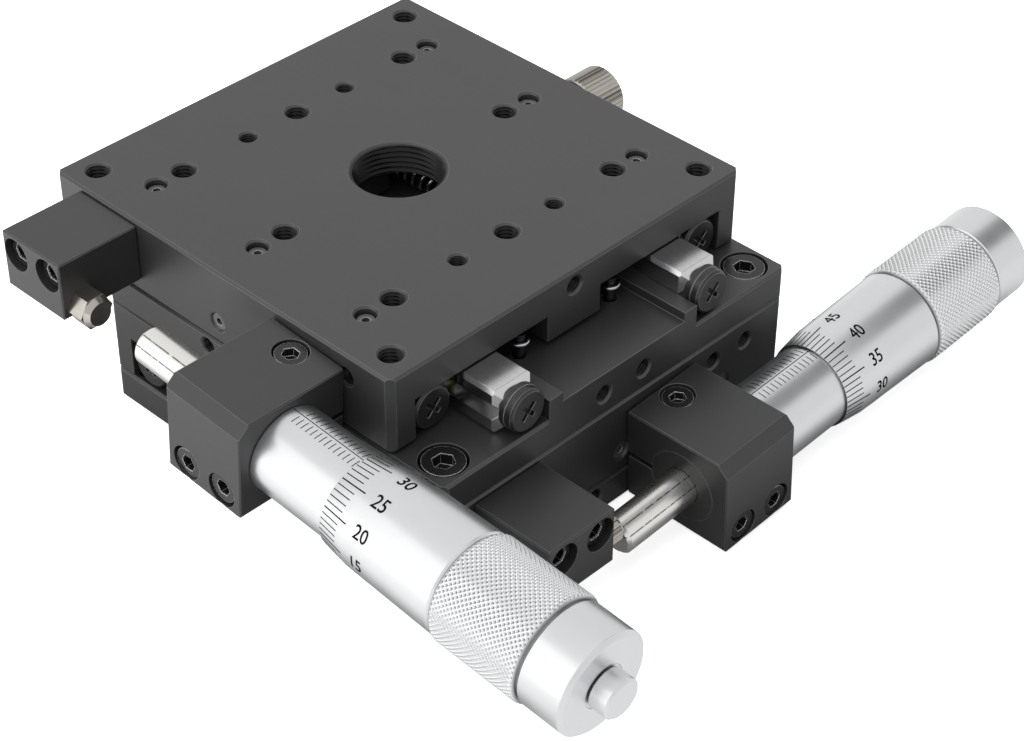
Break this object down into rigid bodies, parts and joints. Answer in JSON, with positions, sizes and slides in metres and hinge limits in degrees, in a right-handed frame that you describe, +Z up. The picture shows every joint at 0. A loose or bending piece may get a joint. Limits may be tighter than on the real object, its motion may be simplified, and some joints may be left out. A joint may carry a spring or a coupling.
{
  "type": "micrometer xy stage",
  "caption": "Low two-axis positioning stage: stacked crossed-roller slides with a drilled top table, side-mounted micrometer heads and knurled lock screws.",
  "frame": {"origin": "centre of the lower base's bottom face", "axes": "+X is the lower stage's travel, towards its micrometer's thimble; +Y is the upper stage's travel, away from its thimble; +Z is up, out of the top table"},
  "size_m": [0.1476, 0.1407, 0.0406],
  "materials": {
    "black_anodised": "black anodised, satin",
    "ground_steel": "ground",
    "cage_strip": "stamped, satin",
    "roller_steel": "polished",
    "black_screw": "black oxide",
    "blackened_steel": "black oxide, turned",
    "spring_steel": "drawn wire",
    "polished_steel": "ground and polished",
    "satin_chrome": "satin chrome",
    "nickel": "nickel plated"
  },
  "bodies": {
    "lower_base": {"x_base": "black_anodised", "x_inner_rails": "ground_steel", "x_inner_end_screws": "black_screw", "x_inner_rail_screws": "black_screw", "x_return_springs": "spring_steel", "x_base_spring_pins": "polished_steel", "x_head_bracket": "black_anodised", "x_bracket_screws": "black_screw", "x_stem_nut": "blackened_steel", "x_graduated_sleeve": "satin_chrome", "x_lock_plate": "black_anodised", "x_lock_plate_screws": "black_screw"},
    "lower_table": {"x_table": "black_anodised", "x_outer_rails": "ground_steel", "x_outer_end_screws": "black_screw", "x_outer_rail_screws": "black_screw", "x_preload_screws": "black_screw", "x_table_spring_pins": "polished_steel", "x_stop_block": "black_anodised", "x_stop_block_screws": "black_screw", "x_contact": "nickel", "y_base": "black_anodised", "y_inner_rails": "ground_steel", "y_inner_end_screws": "black_screw", "y_inner_rail_screws": "black_screw", "y_return_springs": "spring_steel", "y_base_spring_pins": "polished_steel", "y_head_bracket": "black_anodised", "y_bracket_screws": "black_screw", "y_stem_nut": "blackened_steel", "y_graduated_sleeve": "satin_chrome", "y_lock_plate": "black_anodised", "y_lock_plate_screws": "black_screw", "stack_screws": "black_screw"},
    "upper_table": {"y_table": "black_anodised", "y_outer_rails": "ground_steel", "y_outer_end_screws": "black_screw", "y_outer_rail_screws": "black_screw", "y_preload_screws": "black_screw", "y_table_spring_pins": "polished_steel", "y_stop_block": "black_anodised", "y_stop_block_screws": "black_screw", "y_contact": "nickel"},
    "lower_cages": {"x_roller_cages": "cage_strip", "x_rollers": "roller_steel"},
    "upper_cages": {"y_roller_cages": "cage_strip", "y_rollers": "roller_steel"},
    "lower_spindle": {"x_spindle": "polished_steel"},
    "lower_thimble": {"x_thimble": "satin_chrome", "x_knurled_grip": "satin_chrome", "x_end_cap": "satin_chrome"},
    "lower_ratchet": {"x_ratchet_knob": "satin_chrome"},
    "upper_spindle": {"y_spindle": "polished_steel"},
    "upper_thimble": {"y_thimble": "satin_chrome", "y_knurled_grip": "satin_chrome", "y_end_cap": "satin_chrome"},
    "upper_ratchet": {"y_ratchet_knob": "satin_chrome"},
    "lower_lock": {"x_lock_screw": "nickel"},
    "upper_lock": {"y_lock_screw": "nickel"}
  },
  "joints": [
    {"name": "lower_thimble_turn", "type": "hinge", "parent": "lower_spindle", "child": "lower_thimble", "pos_m": [0.04957, -0.0518, 0.01193], "axis": [0.9981, 0, 0.061], "range_deg": [-9000, 9000]},
    {"name": "lower_spindle_slide", "type": "slide", "parent": "lower_base", "child": "lower_spindle", "axis": [0.9981, 0, 0.061], "range_m": [-0.0125, 0.0125]},
    {"name": "lower_table_slide", "type": "slide", "parent": "lower_base", "child": "lower_table", "axis": [1, 0, 0], "range_m": [-0.0125, 0.0125], "deforming": ["x_return_springs"]},
    {"name": "lower_cage_slide", "type": "slide", "parent": "lower_base", "child": "lower_cages", "axis": [1, 0, 0], "range_m": [-0.00625, 0.00625]},
    {"name": "lower_ratchet_turn", "type": "hinge", "parent": "lower_thimble", "child": "lower_ratchet", "pos_m": [0.07952, -0.0518, 0.01376], "axis": [0.9981, 0, 0.061], "continuous": true},
    {"name": "lower_lock_turn", "type": "hinge", "parent": "lower_table", "child": "lower_lock", "pos_m": [-0.003, 0.045, 0.01015], "axis": [0, 1, 0], "range_deg": [-180, 0]},
    {"name": "upper_table_slide", "type": "slide", "parent": "lower_table", "child": "upper_table", "axis": [0, 1, 0], "range_m": [-0.011, 0.0015], "deforming": ["y_return_springs"]},
    {"name": "upper_cage_slide", "type": "slide", "parent": "lower_table", "child": "upper_cages", "axis": [0, 1, 0], "range_m": [-0.0055, 0.00075]},
    {"name": "upper_thimble_turn", "type": "hinge", "parent": "upper_spindle", "child": "upper_thimble", "pos_m": [-0.0518, -0.05031, 0.027], "axis": [0, 0.9976, 0.0698], "range_deg": [-9000, 7920]},
    {"name": "upper_spindle_slide", "type": "slide", "parent": "lower_table", "child": "upper_spindle", "axis": [0, 0.9976, 0.0698], "range_m": [-0.0125, 0.011]},
    {"name": "upper_ratchet_turn", "type": "hinge", "parent": "upper_thimble", "child": "upper_ratchet", "pos_m": [-0.0518, -0.08023, 0.0249], "axis": [0, 0.9976, 0.0698], "continuous": true},
    {"name": "upper_lock_turn", "type": "hinge", "parent": "upper_table", "child": "upper_lock", "pos_m": [0.045, 0.014, 0.03045], "axis": [1, 0, 0], "range_deg": [-180, 0]}
  ],
  "couplings": [
    {"joint": "lower_spindle_slide", "follows": "lower_table_slide", "ratio": 1},
    {"joint": "lower_cage_slide", "follows": "lower_table_slide", "ratio": 0.5},
    {"joint": "lower_thimble_turn", "follows": "lower_table_slide", "rad_per_m": 12566},
    {"joint": "upper_thimble_turn", "follows": "upper_spindle_slide", "rad_per_m": 12566},
    {"joint": "upper_cage_slide", "follows": "upper_table_slide", "ratio": 0.5}
  ]
}
